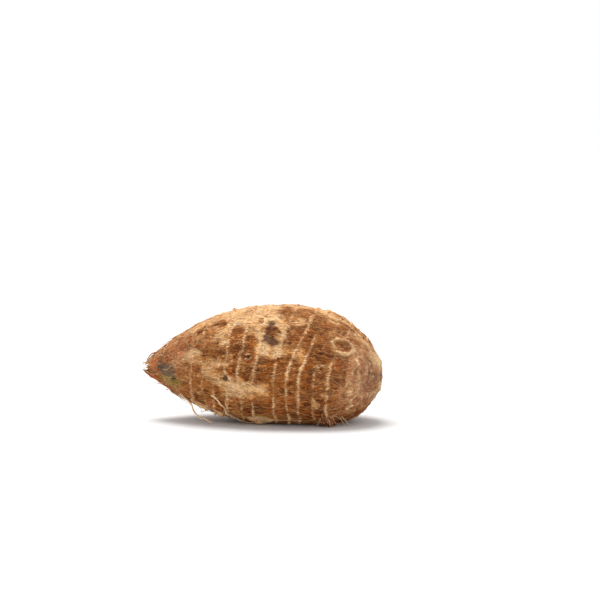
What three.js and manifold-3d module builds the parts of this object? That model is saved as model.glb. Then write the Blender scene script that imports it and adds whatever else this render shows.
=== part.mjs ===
// A small taro root (a cormel) lying on its side, one grown body.
//
// The long axis runs along X: the shoot tip points to -X and the rounded base, where it was broken
// off the mother root, faces +X. +Z is up, and the root rests on a small flat spot at Z = 0.
// The body is a surface of revolution on a sagging axis, with low lobes, ring-shaped leaf scars
// that lean towards the base on the upper side, side buds, root scars and a corky base scar.
// The old scales round the shoot tip and the thicker rootlets are fused to it. Millimetres.

import * as THREE from "three";
import { mergeVertices } from "three/addons/utils/BufferGeometryUtils.js";
import Module from "manifold-3d";

// Driving dimensions.
const TIP_X = -54.4;
const BASE_X = 56.4;
const BELLY_X = 6; // where the root is thickest
const BELLY_RADIUS = 27.4;
const DEPTH_SHARE = 1.03; // width across the root over its height
const AXIS_HEIGHT = 26.6; // of the axis at the belly, a little less than the radius: the flat spot
const TIP_DROP = { height: 2.4, power: 6 }; // how the axis sinks towards each end
const BASE_DROP = { height: 5.0, power: 1.6 };
const TIP_CURVE = { power: 2, root: 0.8 }; // exponents of the pointed half
const BASE_CURVE = { power: 3.4, root: 0.7 }; // exponents of the blunt half

// Leaf-scar rings: distance of each from the tip along X, measured on the side that faces -Y.
const RING_STATIONS = [
  4.2, 9.6, 15.2, 23.2, 28.8, 33.8, 39.8, 46.6, 52.9, 61.9, 68.4, 73.4, 80.0, 86.3, 91.4, 96.6, 101.6,
];
const RING_HEIGHT = 0.6;
const RING_HALF_WIDTH = 0.55;
const BAND_SWELL = 0.25; // the skin between two rings stands this much over their feet
// How far a ring's top leans towards the base: most round that x, and easing in from the side that
// faces -Y over a softened bend.
const LEAN = { most: 12, at: 20, spread: 26, bend: 0.02, offset: 0.07 };
const RING_WAVES = [
  { size: 0.45, count: 2, shift: 2.4 },
  { size: 0.25, count: 5, shift: 1.7 },
];
const RING_CALM = 9; // the lean and the waves fade over this length at both ends

// Low lobes of the body: share of the radius, how many there are, pitch of their twist along X.
const LOBES = [
  { share: 0.014, count: 2, pitch: 31, start: 0.6 },
  { share: 0.012, count: 3, pitch: -17, start: 2.1 },
  { share: 0.007, count: 5, pitch: 9, start: 0 },
];

// Low bumps and hollows on the skin: place along X, angle round the axis (0 faces -Y, 90 is up),
// half sizes along and across the root, and height.
const BUDS = [
  { x: -0.5, angle: -66, along: 5.2, across: 3.4, height: 1.5 },
  { x: -18, angle: 148, along: 4.2, across: 4.6, height: 1.7 },
  { x: 24, angle: 205, along: 4.8, across: 5.2, height: 1.8 },
  { x: 12, angle: 84, along: 4.0, across: 4.4, height: 1.2 },
  { x: -34, angle: 232, along: 3.8, across: 3.8, height: 1.3 },
];
const ROOT_SCARS = [
  { x: 38.2, angle: 35, along: 4.5, across: 3.9, depth: 0.7, rim: 0.7 },
  { x: 33, angle: 118, along: 4.2, across: 4.4, depth: 0.7, rim: 0.6 },
  { x: -6, angle: 196, along: 4.4, across: 4.2, depth: 0.6, rim: 0.6 },
];
const SCAR_RIM_WIDTH = 0.3; // in half sizes of the scar
const SCAR_SLOPE = 0.7; // share of the scar from its edge to its flat floor
const BASE_SCAR = { radius: 6.6, depth: 0.5, rim: 0.25, rimWidth: 1.1, foot: 9.2, shoulder: 13 };

// Rootlets: where each leaves the skin, how far it creeps along X and round the root, how far its
// end stands off the skin, and how much it winds (degrees).
const ROOTLET_RADIUS = 0.45;
const ROOTLET_SIDES = 5;
const ROOTLET_STEPS = 12;
const ROOTLET_CLEARANCE = 1; // above the surface that the root lies on
const ROOTLET_KNOTS = 6; // points that guide its curve after the first
const ROOTLET_ROOTED = { depth: 1.8, run: 0.06 }; // where it starts inside, and the share it then skips
const ROOTLET_RISE = { start: 0.15, end: 0.3 }; // how far its middle line stands over the skin
const ROOTLET_WINDING = { rate: 7, fading: 0.4 }; // radians from end to end, and how much it calms
const ROOTLET_THINNING = 0.55; // share of the radius lost at the end
const ROOTLETS = [
  { x: -36.5, angle: -62, run: 12.5, turn: 3, lift: 6.2, wind: 2 },
  { x: -23, angle: -32, run: 15.5, turn: -38, lift: 0.5, wind: 4 },
  { x: 28.4, angle: -51, run: -3, turn: -13, lift: 3, wind: 2.5 },
  { x: 29.8, angle: -49, run: -1, turn: -13, lift: 3.6, wind: -4 },
  { x: 30.6, angle: -50, run: 0.5, turn: -11, lift: 4.0, wind: 4 },
  { x: 31.4, angle: -48, run: 1.5, turn: -14, lift: 3.4, wind: -3 },
  { x: 32.0, angle: -50, run: 3, turn: -9, lift: 3.8, wind: 5 },
  { x: 30, angle: 214, run: -14, turn: 30, lift: 0.5, wind: 5 },
  { x: -14, angle: 238, run: -13, turn: -22, lift: 1.2, wind: -6 },
  { x: -44, angle: 250, run: 9, turn: -20, lift: 1.5, wind: 8 },
];

// Old pointed scales that clasp the shoot tip, longest on the underside.
const SCALES = 7;
const SCALE_FOOT_RADIUS = 8.2; // of the body where the scales start
const SCALE_LENGTH = 6.4;
const SCALE_UNEVEN = { turn: 0.35, foot: 1.2, under: 0.16, length: 0.12, curl: 0.35 }; // how they differ
const SCALE_HALF_ANGLE = 34; // of a scale's foot, seen along the root
const SCALE_NARROWING = 0.55; // share of that angle lost at the point
const SCALE_POINT = 0.45; // the last row is narrower again by this factor
const SCALE_SWELL = 2.5; // the scale reaches its full thickness at one part in this of its length
const SCALE_THICKNESS = 0.9;
const SCALE_ROWS = 5;
const SCALE_EDGE = 0.6; // height of a scale's edges over that of its middle
const SCALE_TWIST = 0.2; // of its point round the root, in radians
const SCALE_SUNK = 0.3; // its underside lies this deep in the body
const SCALE_ROOTED = 1.2; // and leaves the body this near to the end
const SCALE_UNDERSIDE = 0.9; // its width over that of the top
const CROWN_START = 4.5; // nearer to the end than this the scales stand free, as a blunt crown

const COLUMNS = 56; // points round the skin
const TIP_ROW_RADII = [1.6, 3.0]; // rows between the tip point and the first ring
const SLOPE_STEP = 0.05; // over which the form's slope is measured

const radians = THREE.MathUtils.degToRad;

// Half height of the root at x: one power curve on each side of the belly.
function formRadius(x) {
  const pointed = x < BELLY_X;
  const curve = pointed ? TIP_CURVE : BASE_CURVE;
  const share = pointed ? (BELLY_X - x) / (BELLY_X - TIP_X) : (x - BELLY_X) / (BASE_X - BELLY_X);
  return BELLY_RADIUS * Math.pow(Math.max(0, 1 - Math.pow(share, curve.power)), curve.root);
}

// The x on the tip or base side where the root has a given radius, which undoes formRadius.
function formX(radius, towardsTip) {
  const curve = towardsTip ? TIP_CURVE : BASE_CURVE;
  const share = Math.pow(1 - Math.pow(radius / BELLY_RADIUS, 1 / curve.root), 1 / curve.power);
  return BELLY_X + share * ((towardsTip ? TIP_X : BASE_X) - BELLY_X);
}

function axisHeight(x) {
  const drop = x < BELLY_X ? TIP_DROP : BASE_DROP;
  const end = x < BELLY_X ? TIP_X : BASE_X;
  return AXIS_HEIGHT - drop.height * Math.pow((x - BELLY_X) / (end - BELLY_X), drop.power);
}

// Low lobes, as a share of the radius.
function lobes(x, angle) {
  let total = 1;
  for (const lobe of LOBES) {
    total += lobe.share * Math.cos(lobe.count * angle + x / lobe.pitch + lobe.start);
  }
  return total;
}

// A point of the skin, raised by rise along the normal of the plain body, and never under Z = 0.
function skinPoint(x, angle, rise = 0) {
  const inside = THREE.MathUtils.clamp(x, TIP_X + SLOPE_STEP, BASE_X - SLOPE_STEP);
  const slope = (formRadius(inside + SLOPE_STEP) - formRadius(inside - SLOPE_STEP)) / (2 * SLOPE_STEP);
  const norm = Math.hypot(1, slope);
  const radius = formRadius(x) * lobes(x, angle) + rise / norm;
  return new THREE.Vector3(
    x - (rise * slope) / norm,
    -DEPTH_SHARE * radius * Math.cos(angle),
    Math.max(0, axisHeight(x) + radius * Math.sin(angle)),
  );
}

// How far a ring is moved along X at an angle: the lean of its top, and a small waviness.
function ringShift(x, ring, angle) {
  const lean = LEAN.most * Math.exp(-(((x - LEAN.at) / LEAN.spread) ** 2));
  const height = Math.sin(angle);
  const upper = (height + Math.sqrt(height * height + LEAN.bend)) / 2 - LEAN.offset;
  let wave = 0;
  for (const { size, count, shift } of RING_WAVES) wave += size * Math.sin(count * angle + shift * ring);
  const fromEnd = Math.min(x - TIP_X, BASE_X - x) / RING_CALM;
  return (lean * upper + wave) * THREE.MathUtils.smoothstep(fromEnd, 0, 1);
}

// Distance of a skin place from a spot's centre, in half sizes of the spot.
function spotDistance(spot, x, angle) {
  const turn = angle - radians(spot.angle);
  const across = formRadius(spot.x) * Math.atan2(Math.sin(turn), Math.cos(turn));
  return Math.hypot((x - spot.x) / spot.along, across / spot.across);
}

// Buds stand up as smooth domes, and root scars are hollows inside a raised rim.
function spotRise(x, angle) {
  let rise = 0;
  for (const bud of BUDS) {
    const d = Math.min(1, spotDistance(bud, x, angle));
    rise += bud.height * (1 - d * d) ** 2;
  }
  for (const scar of ROOT_SCARS) {
    const d = spotDistance(scar, x, angle);
    rise += scar.rim * Math.exp(-(((d - 1) / SCAR_RIM_WIDTH) ** 2));
    rise -= scar.depth * THREE.MathUtils.smoothstep(1 - d, 0, SCAR_SLOPE);
  }
  return rise;
}

// Rows of the skin from tip to base. Each has its x, its ring number and its own rise.
function skinRows() {
  const rows = [];
  for (const radius of TIP_ROW_RADII) rows.push({ x: formX(radius, true), ring: 0, rise: 0 });
  RING_STATIONS.forEach((station, ring) => {
    const x = TIP_X + station;
    const middle = x + (RING_STATIONS[ring + 1] - station) / 2;
    rows.push({ x: x - RING_HALF_WIDTH, ring, rise: 0 });
    rows.push({ x, ring, rise: RING_HEIGHT });
    rows.push({ x: x + RING_HALF_WIDTH, ring, rise: 0 });
    if (ring < RING_STATIONS.length - 1) rows.push({ x: middle, ring: ring + 0.5, rise: BAND_SWELL });
  });
  const last = RING_STATIONS.length;
  const rim = BASE_SCAR.radius;
  for (const radius of [BASE_SCAR.shoulder, BASE_SCAR.foot, rim + BASE_SCAR.rimWidth]) {
    rows.push({ x: formX(radius, false), ring: last, rise: 0 });
  }
  rows.push({ x: formX(rim, false), ring: last, rise: BASE_SCAR.rim });
  for (const radius of [rim - BASE_SCAR.rimWidth, rim / 2, rim / 4]) {
    rows.push({ x: formX(radius, false), ring: last, rise: -BASE_SCAR.depth });
  }
  return rows;
}

// The closed skin: rows of points round the axis, with one point at each end.
function bodyGeometry() {
  const rows = skinRows();
  const points = [skinPoint(TIP_X, 0)];
  for (const row of rows) {
    for (let column = 0; column < COLUMNS; column++) {
      const angle = (2 * Math.PI * column) / COLUMNS;
      const x = row.x + ringShift(row.x, row.ring, angle);
      points.push(skinPoint(x, angle, row.rise + spotRise(x, angle)));
    }
  }
  points.push(skinPoint(BASE_X, 0, -BASE_SCAR.depth));
  const index = [];
  const at = (row, column) => 1 + row * COLUMNS + (column % COLUMNS);
  for (let column = 0; column < COLUMNS; column++) {
    index.push(0, at(0, column), at(0, column + 1));
    index.push(points.length - 1, at(rows.length - 1, column + 1), at(rows.length - 1, column));
    for (let row = 0; row < rows.length - 1; row++) {
      const [a, b] = [at(row, column), at(row, column + 1)];
      const [c, d] = [at(row + 1, column), at(row + 1, column + 1)];
      index.push(a, c, d, a, d, b);
    }
  }
  return new THREE.BufferGeometry().setFromPoints(points).setIndex(index);
}

// A closed tube along a curve, thinning to a point-like end.
function taperedTube(curve, radius, steps, sides) {
  const frames = curve.computeFrenetFrames(steps, false);
  const points = [curve.getPoint(0)];
  for (let step = 0; step <= steps; step++) {
    const centre = curve.getPoint(step / steps);
    const size = radius * (1 - ROOTLET_THINNING * (step / steps) ** 2);
    for (let side = 0; side < sides; side++) {
      const turn = (2 * Math.PI * side) / sides;
      points.push(
        centre
          .clone()
          .addScaledVector(frames.normals[step], size * Math.cos(turn))
          .addScaledVector(frames.binormals[step], size * Math.sin(turn)),
      );
    }
  }
  points.push(curve.getPoint(1).addScaledVector(curve.getTangent(1), radius / 2));
  const index = [];
  const at = (step, side) => 1 + step * sides + (side % sides);
  for (let side = 0; side < sides; side++) {
    index.push(0, at(0, side + 1), at(0, side));
    index.push(points.length - 1, at(steps, side), at(steps, side + 1));
    for (let step = 0; step < steps; step++) {
      const [a, b] = [at(step, side), at(step, side + 1)];
      const [c, d] = [at(step + 1, side), at(step + 1, side + 1)];
      index.push(a, b, d, a, d, c);
    }
  }
  return new THREE.BufferGeometry().setFromPoints(points).setIndex(index);
}

// A rootlet starts inside the body, creeps over the skin, and its end stands off it.
function rootletGeometry({ x, angle, run, turn, lift, wind }) {
  const points = [skinPoint(x, radians(angle), -ROOTLET_ROOTED.depth)];
  for (let knot = 0; knot <= ROOTLET_KNOTS; knot++) {
    const share = knot / ROOTLET_KNOTS;
    const side = wind * Math.sin(ROOTLET_WINDING.rate * share) * (1 - ROOTLET_WINDING.fading * share);
    const onSkin = x + run * THREE.MathUtils.lerp(ROOTLET_ROOTED.run, 1, share);
    const rise = ROOTLET_RISE.start + ROOTLET_RISE.end * share + lift * share * share;
    const point = skinPoint(onSkin, radians(angle + turn * share + side), rise);
    point.z = Math.max(point.z, ROOTLET_CLEARANCE + ROOTLET_RADIUS);
    points.push(point);
  }
  const curve = new THREE.CatmullRomCurve3(points);
  return taperedTube(curve, ROOTLET_RADIUS, ROOTLET_STEPS, ROOTLET_SIDES);
}

// A pointed scale lies on the cone of the shoot tip and frees its point past the end of the body.
function scaleGeometry(number) {
  const { turn, foot, under, length: uneven, curl: curling } = SCALE_UNEVEN;
  const centre = (2 * Math.PI * number) / SCALES + turn * Math.sin(5 * number);
  const start = formX(SCALE_FOOT_RADIUS, true) + foot * Math.cos(4 * number);
  const length = SCALE_LENGTH * (1 - under * Math.sin(centre) + uneven * Math.cos(3 * number));
  const points = [];
  for (let row = 0; row < SCALE_ROWS; row++) {
    const share = row / (SCALE_ROWS - 1);
    const point = row === SCALE_ROWS - 1 ? SCALE_POINT : 1;
    const half = radians(SCALE_HALF_ANGLE) * (1 - SCALE_NARROWING * share) * point;
    const x = start - length * share;
    const onBody = Math.max(x, TIP_X + CROWN_START);
    const swell = Math.sin((Math.PI / 2) * Math.min(1, share * SCALE_SWELL));
    const top = -SCALE_SUNK + (SCALE_THICKNESS + SCALE_SUNK) * swell;
    const curl = curling * Math.sin(3 * number + 4 * share);
    for (const [side, rise] of [
      [-1, top * SCALE_EDGE],
      [0, top],
      [1, top * SCALE_EDGE],
    ]) {
      const place = skinPoint(onBody, centre + side * half + SCALE_TWIST * share, rise + curl * share);
      place.x += x - onBody;
      points.push(place);
    }
    const rooted = Math.max(x, TIP_X + SCALE_ROOTED);
    for (const side of [SCALE_UNDERSIDE, 0, -SCALE_UNDERSIDE]) {
      const place = skinPoint(rooted, centre + side * half + SCALE_TWIST * share, -SCALE_SUNK);
      place.x += x - rooted;
      points.push(place);
    }
  }
  const sides = 6;
  const index = [];
  const last = (SCALE_ROWS - 1) * sides;
  for (let side = 0; side < sides; side++) {
    const next = (side + 1) % sides;
    if (side > 0 && side < sides - 1) {
      index.push(0, side + 1, side);
      index.push(last, last + side, last + side + 1);
    }
    for (let row = 0; row < SCALE_ROWS - 1; row++) {
      const [a, b] = [row * sides + side, row * sides + next];
      index.push(a, b, b + sides, a, b + sides, a + sides);
    }
  }
  return new THREE.BufferGeometry().setFromPoints(points).setIndex(index);
}

const wasm = await Module();
wasm.setup();

function solidOf(geometry) {
  const merged = mergeVertices(geometry, 1e-4);
  return new wasm.Manifold(
    new wasm.Mesh({
      numProp: 3,
      vertProperties: merged.attributes.position.array,
      triVerts: new Uint32Array(merged.index.array),
    }),
  );
}

function geometryOf(solid) {
  const mesh = solid.getMesh();
  const geometry = new THREE.BufferGeometry();
  geometry.setAttribute("position", new THREE.BufferAttribute(new Float32Array(mesh.vertProperties), 3));
  geometry.setIndex(new THREE.BufferAttribute(mesh.triVerts, 1));
  geometry.computeVertexNormals();
  return geometry;
}

let grown = solidOf(bodyGeometry());
for (const rootlet of ROOTLETS) grown = grown.add(solidOf(rootletGeometry(rootlet)));
for (let number = 0; number < SCALES; number++) grown = grown.add(solidOf(scaleGeometry(number)));

const corm = new THREE.Mesh(
  geometryOf(grown),
  new THREE.MeshStandardMaterial({ color: 0x96683e, roughness: 0.85, metalness: 0 }),
);
corm.name = "corm";

const taroRoot = new THREE.Group();
taroRoot.add(corm);

export default taroRoot;
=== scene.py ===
"""Dresses a packed taro root: fine skin, ring beads, fibres, rootlets, hairs, flakes and tip scales.

The root lies along X with its shoot tip at -X, its base at +X and its flat spot on Z = 0. Shapes are
worked out in millimetres from the same named values as the solid, then put in metres into the meshes.
"""

import math
from itertools import product

import bpy
import numpy as np
from bpy.props import FloatProperty, FloatVectorProperty, IntProperty, PointerProperty
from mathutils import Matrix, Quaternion, Vector


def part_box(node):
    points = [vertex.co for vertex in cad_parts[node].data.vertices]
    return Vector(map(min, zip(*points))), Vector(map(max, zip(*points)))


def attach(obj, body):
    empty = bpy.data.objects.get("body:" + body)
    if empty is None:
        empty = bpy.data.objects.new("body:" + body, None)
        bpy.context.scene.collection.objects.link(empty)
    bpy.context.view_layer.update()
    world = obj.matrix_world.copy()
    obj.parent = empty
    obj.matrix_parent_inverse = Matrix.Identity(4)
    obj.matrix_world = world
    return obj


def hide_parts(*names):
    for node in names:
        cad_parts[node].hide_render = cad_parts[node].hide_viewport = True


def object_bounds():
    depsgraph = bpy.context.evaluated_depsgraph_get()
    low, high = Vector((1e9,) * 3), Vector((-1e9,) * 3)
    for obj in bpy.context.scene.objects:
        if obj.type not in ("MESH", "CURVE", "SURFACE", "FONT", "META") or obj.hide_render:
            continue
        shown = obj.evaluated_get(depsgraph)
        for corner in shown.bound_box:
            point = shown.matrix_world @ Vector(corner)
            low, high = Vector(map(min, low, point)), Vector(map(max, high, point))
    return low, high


bl_info = {
    "name": "Taro root",
    "version": (1, 0, 0),
    "blender": (4, 5, 0),
    "location": "3D Viewport > Sidebar > Taro root",
    "description": "Builds the skin, rings, fibres, rootlets and scales of a taro root",
    "category": "Object",
}

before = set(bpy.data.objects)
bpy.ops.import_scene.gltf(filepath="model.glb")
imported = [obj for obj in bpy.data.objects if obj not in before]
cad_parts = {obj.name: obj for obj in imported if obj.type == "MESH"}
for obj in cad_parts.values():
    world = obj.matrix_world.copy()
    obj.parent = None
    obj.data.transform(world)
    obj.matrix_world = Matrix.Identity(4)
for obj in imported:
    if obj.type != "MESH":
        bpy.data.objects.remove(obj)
CAD_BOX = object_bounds()
BODY = "root"
NODE = "corm"
MM = 0.001
SEED = 20

# Form of the body, in millimetres.
TIP_X = -54.4
BASE_X = 56.4
BELLY_X = 6.0
BELLY_RADIUS = 27.4
DEPTH_SHARE = 1.03
AXIS_HEIGHT = 26.6
TIP_DROP = 2.4
BASE_DROP = 5.0
TIP_CURVE = (2.0, 0.8)
BASE_CURVE = (3.4, 0.7)
LOBES = ((0.014, 2, 31, 0.6), (0.012, 3, -17, 2.1), (0.007, 5, 9, 0.0))
SLOPE_STEP = 0.05

# Leaf-scar rings: place from the tip, and how strongly each shows.
RING_STATIONS = np.array(
    [4.2, 9.6, 15.2, 23.2, 28.8, 33.8, 39.8, 46.6, 52.9, 61.9, 68.4, 73.4, 80, 86.3, 91.4, 96.6, 101.6]
)
RING_STRENGTH = np.array(
    [0.4, 0.3, 0.3, 0.6, 0.45, 0.7, 0.85, 1, 0.9, 1, 1, 1, 0.4, 0.95, 0.3, 0.3, 0.3]
)
RING_HALF_WIDTH = 0.55
CREST_HALF_WIDTH = 0.5
CREST_X = TIP_X + RING_STATIONS
# Most lean of a ring's top, where along X, how far it reaches, softness of its bend and its offset.
LEAN = (12.0, 20.0, 26.0, 0.02, 0.07)
# Waves of a ring: size, how many round the root, and turn from ring to ring. They fade at the ends.
RING_WAVES = ((0.45, 2, 2.4), (0.25, 5, 1.7))
RING_CALM = 9.0
# Noises that move and break a ring: amount, size in mm, seed and change from ring to ring.
RING_WOBBLE = ((0.5, 7, 14, 0.8), (0.28, 2.4, 15, 1.3))
RING_BREAKS = ((0.7, 9, 3, 5.3), (0.45, 2.6, 4, 3.1))
# Relief between the rings.
BAND_SWELL = 0.25
LUMP_HEIGHT = 0.22
HILL_HEIGHT = 0.6
STAIN_DEPTH = 0.25

# Spots: place along X, angle round the axis (0 faces -Y, 90 is up), half sizes along and across, and
# the amount: height of a bud, depth and rim of a scar, strength of a marking.
BUDS = (
    (-0.5, -66, 5.2, 3.4, 1.5), (-18, 148, 4.2, 4.6, 1.7), (24, 205, 4.8, 5.2, 1.8),
    (12, 84, 4, 4.4, 1.2), (-34, 232, 3.8, 3.8, 1.3),
)
ROOT_SCARS = (
    (38.2, 35, 4.5, 3.9, 0.6, 0.6), (33, 118, 4.2, 4.4, 0.7, 0.6), (-6, 196, 4.4, 4.2, 0.6, 0.6),
    (-4.2, 14, 1.15, 1.15, 0.35, 0.2),
)
BASE_SCAR = {"radius": 6.6, "depth": 0.5, "rim": 0.4, "rim_width": 1.1}
FAR = 99
# More bark (above 0) or peeled skin (below 0).
PATCHES = (
    (-14.8, -14, 4, 3.2, -1.5), (-6.5, -17, 6, 3.4, -1.8), (2.3, -17, 5, 3.2, -1.5),
    (-3.5, -25, 5, 3.5, -0.8), (3.1, 54, 8, 6, -1.6), (2.2, 24, 5, 4.5, -1.3), (12, 18, 6, 3.6, -1.5),
    (18.5, 19, 4.5, 3.8, -1.2), (-38, 22, 7, 9, -0.6), (-33, 62, 12, 9, -0.3), (-20, -5, 8, 9, -1.2),
    (-23, 26, 6, 5, 0.4), (-8, 55, 8, 5, -0.9), (14.5, 50, 5, 6, -0.6), (-12, 80, 12, 8, -0.7),
    (30, 92, 14, 8, -0.4), (46, -8, 8, 12, -1.3), (50, 20, 8, 14, -1), (38, 53, 5, 4, 0.9),
    (0.4, -60, 5.6, 4.6, -3), (-23.5, -66, 8, 3.6, -3.2), (-24, -50, 9, 3, 1.3), (-44, -30, 6, 6, -0.8),
    (-10.4, 35, 3.2, 8, 1.2), (-4.5, 22, 2.8, 8, 1.3), (-4.5, -3, 2.8, 4.5, 1.5), (-10.7, 1, 2.8, 5, 1),
    (2, 2, 4.2, 5.5, 1.3), (10.5, -5, 3, 9, 1.4), (16, -10, 3, 11, 1.5), (24, -4, 4.2, 14, 1.4),
    (28.5, 24, 4.6, 6, 1.7), (-24, -28, 6, 8, 1), (-2.4, -38, 4.5, 5, 1.1), (5.9, 42, 3.8, 3, 2.4),
    (35, -6, 3.2, 12, 0.9), (38.5, 4, 3, 9, 1.3), (48.5, -20, 3, 5, 0.9), (47, 8, 1.6, 5, 1.2),
    (41.5, -14, 2.6, 8, -0.8), (24, -36, 6, 8, 1), (11, -36, 6, 8, 1.1), (13.5, 57, 4, 6, 0.8),
    (27, 50, 5, 6, 0.7), (38.2, 35, 3, 2.6, 1.4),
)
# Dark stains, with how strong each is.
STAINS = (
    (5.6, 50.5, 2.4, 1.8, 0.9), (6, 43, 3, 1.6, 0.75), (4.3, 32, 3.2, 2.7, 1), (7.4, 27, 2, 2, 0.9),
    (14.2, 29, 1.9, 1.9, 0.6), (-14.7, -8.5, 1, 1.4, 1.7), (-4.2, 14, 0.8, 0.8, 1.5),
    (-40, -23, 1.7, 1.5, 0.9), (28.6, 25, 4.2, 4.4, 0.62), (24.6, -4, 3.6, 4.6, 0.55),
    (46, 10, 0.9, 1.6, 0.6), (20, 140, 3, 2.4, 0.8), (-22, 170, 2.2, 2, 0.8), (2, 120, 1.6, 1.6, 0.9),
    (34, 230, 2.6, 2.2, 0.7),
)
TINT_SPOTS = {
    "red": (
        (-51, -42, 3.8, 4.2, 1.5), (-49.5, -60, 2.4, 2.4, 0.45), (-49, 200, 2.6, 3, 0.6),
    ),
    "blue": (
        (-44.6, -6, 4.2, 3.6, 1.2), (-41.5, -16, 3, 3, 0.7), (-46, 150, 3.2, 3, 0.6),
    ),
    "green": (
        (-43.4, -36, 5.6, 3.2, 1.2), (-38.5, -26, 3.6, 3, 0.6), (-45, 240, 4, 3.4, 0.8),
    ),
    "pink": (
        (47.5, 4, 9.5, 16, 1.2), (-37.5, 22, 6.5, 6, 0.7), (46, 185, 8, 12, 0.8), (44, -45, 7, 8, 0.6),
    ),
}
# Where crests are stronger or fainter, and where skin is peeled to its palest layer.
CREST_SPOTS = (
    (27.5, 45, 7, 12, -0.9), (38.2, 35, 6, 5, -1), (20.8, 48, 2.6, 16, 2.2), (-27, 20, 9, 12, -0.5),
    (3, 45, 6, 12, -0.6), (31.9, -10, 2, 16, 1.2), (31.9, -38, 2, 8, 1.2), (-8, 55, 6, 6, 0.5),
    (-6.5, -17, 9, 4, -0.4),
)
PALE_SPOTS = (
    (0.4, -60, 5.6, 3.4, 1.6), (-23.5, -64, 7.4, 2.9, 2), (-14.8, -15, 4.6, 2.8, 0.5),
    (-6.5, -17, 6, 3, 0.55), (2.3, -17, 4.6, 2.6, 0.4), (3.1, 60, 7, 5, 0.5), (2.2, 24, 4.6, 3.4, 0.4),
    (12, 18, 5, 2.6, 0.35), (24, 78, 18, 6, 0.25), (49, 30, 3, 6, 0.25), (41.5, -14, 2.6, 8, 0.4),
    (-20, 74, 20, 6, 0.35),
)
# Grooves (below 0) and pale ridges (above 0): two ends, bow, half width and height.
LINES = (
    (-28.6, 52, -16, 55, 1.2, 0.7, -1.7), (-29.5, -60, -17, -62.5, 0.3, 1, 1.4),
    (-4.6, -60, 3.8, -61, 0.3, 1.5, 0.8), (-33, 44, -27, 50, 0.6, 0.4, -0.5),
    (-19, 30, -17.5, 44, 0.3, 0.5, -0.35), (31, 65, 44, 63, 1.2, 0.5, 0.5),
    (32, 70, 44.5, 68, 1.2, 0.6, -0.6), (33.5, 77, 45, 73, 0.9, 0.5, 0.45),
    (34, 83, 45.5, 78, 0.5, 0.5, -0.4), (34.5, 50, 41, 53, -1.2, 0.5, 0.4),
    (35, 55, 40, 58, 0.6, 0.5, -0.5), (44.5, 24, 44.6, -24, 0.8, 0.65, 0.5),
    (44.8, -24, 39.5, -44, -1.2, 0.55, 0.45), (38.5, -46, 44.5, -42, 1.4, 0.55, 0.5),
    (50, 30, 50.2, -12, 1, 0.5, 0.4), (44.4, 22, 52, 4, -1.5, 0.45, 0.35),
    (25, 5, 29.5, 10, 0.8, 0.2, 0.2), (27.2, 12, 28.6, 2, -0.8, 0.2, 0.2),
    (27.2, 6, 31, 8, 0.9, 0.2, 0.2), (8, 38, 13, 33, 0.5, 0.28, 0.35),
    (4, -61, 27, -58, 0.8, 0.45, 0.4), (9, 60, 12.5, 42, 0.4, 0.45, -0.5),
    (-30, 12, -19, 14, 1.4, 0.35, -0.35), (-29, 2, -20, 3, 1, 0.3, -0.3),
    (-21.5, -34, -10, -68, 1, 0.5, -0.5), (12, 150, 26, 146, 1, 0.5, -0.7),
    (-30, 200, -16, 203, -0.9, 0.5, -0.7), (44, 150, 45, 205, 1, 0.4, 0.35),
    (45, 205, 40, 235, -0.6, 0.4, 0.35),
)

# Rootlets: start, angle, run along X, turn round the root, lift of the end, winding.
ROOTLETS = (
    (-39.5, -59, 19.5, 0, 6.8, 2), (-23, -32, 15.5, -38, 0.5, 6), (28.4, -51, -3, -13, 3, 2.5),
    (29.8, -49, -1, -13, 3.6, -4), (30.6, -50, 0.5, -11, 4, 4), (31.4, -48, 1.5, -14, 3.4, -3),
    (32, -50, 3, -9, 3.8, 5), (30, 214, -14, 30, 0.5, 5), (-14, 238, -13, -22, 1.2, -6),
    (-44, 250, 9, -20, 1.5, 8),
)
ROOTLET_RADIUS = 0.45
ROOTLET_CLEARANCE = 1.0
THIN_RADIUS = 0.2
THIN_CLEARANCE = 0.3
# Shade of each of them, 0 dark and 1 light, and the number of steps along each.
ROOTLET_SHADES = [1, 1, 0.3, 0.4, 0.25, 0.45, 0.35, 0.6, 0.7, 0.8]
ROOTLET_STEPS = 48
# Thinner rootlets: how many, the limits of the same six values, and the limits of their shade.
TUFT = (18, ((28, 32.5), (-58, -50), (-3.5, 3), (-12, -2), (1.5, 4.6), (-12, 12)), (0, 0.4))
LOOSE = (22, ((-45, 45), (190, 330), (-12, 12), (-25, 25), (0, 2.4), (-9, 9)), (0.3, 1))
PALE_HAIRS = ((36.6, -57, 0.8, -14, 2.6, 2), (37.4, -55, 1.6, -9, 3.6, -2))

SCALES = 7
SCALE_FOOT_RADIUS = 8.2
SCALE_LENGTH = 6.4
SCALE_HALF_ANGLE_DEG = 34
SCALE_THICKNESS = 0.9
CROWN_START = 4.5
TIP_STRANDS = 74
TIP_FRINGE = 34
# Loose ribs of old scales: angle round the tip, where each ends along X and how far it stands off.
TIP_HUSKS = (
    (66, -49, 1.5), (40, -50.5, 1.1), (112, -48.5, 1.4), (-48, -50, 0.9), (178, -49, 1.3),
    (250, -50, 1.2),
)

# Placed flakes of bark: place, angle, length, width and lift of the free edge.
FLAKE_HALF_THICKNESS = 0.09
FLAKES = (
    (25.5, -30, 4.8, 6.4, 1.5), (-24, -68, 9, 4, 0.6), (39.5, -48, 5, 4.5, 0.8), (37, 72, 7, 3, 0.7),
)

# Strands, and how far a piece may pass the solid's box and come down to the ground.
BEAD_RADIUS = 0.29
FIBRE_LENGTH = 3.6
HAIR_LENGTH = 6.0
HUSK_RADIUS = 0.34
OVER_BOX = 1.0
LOWEST = 0.15

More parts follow.
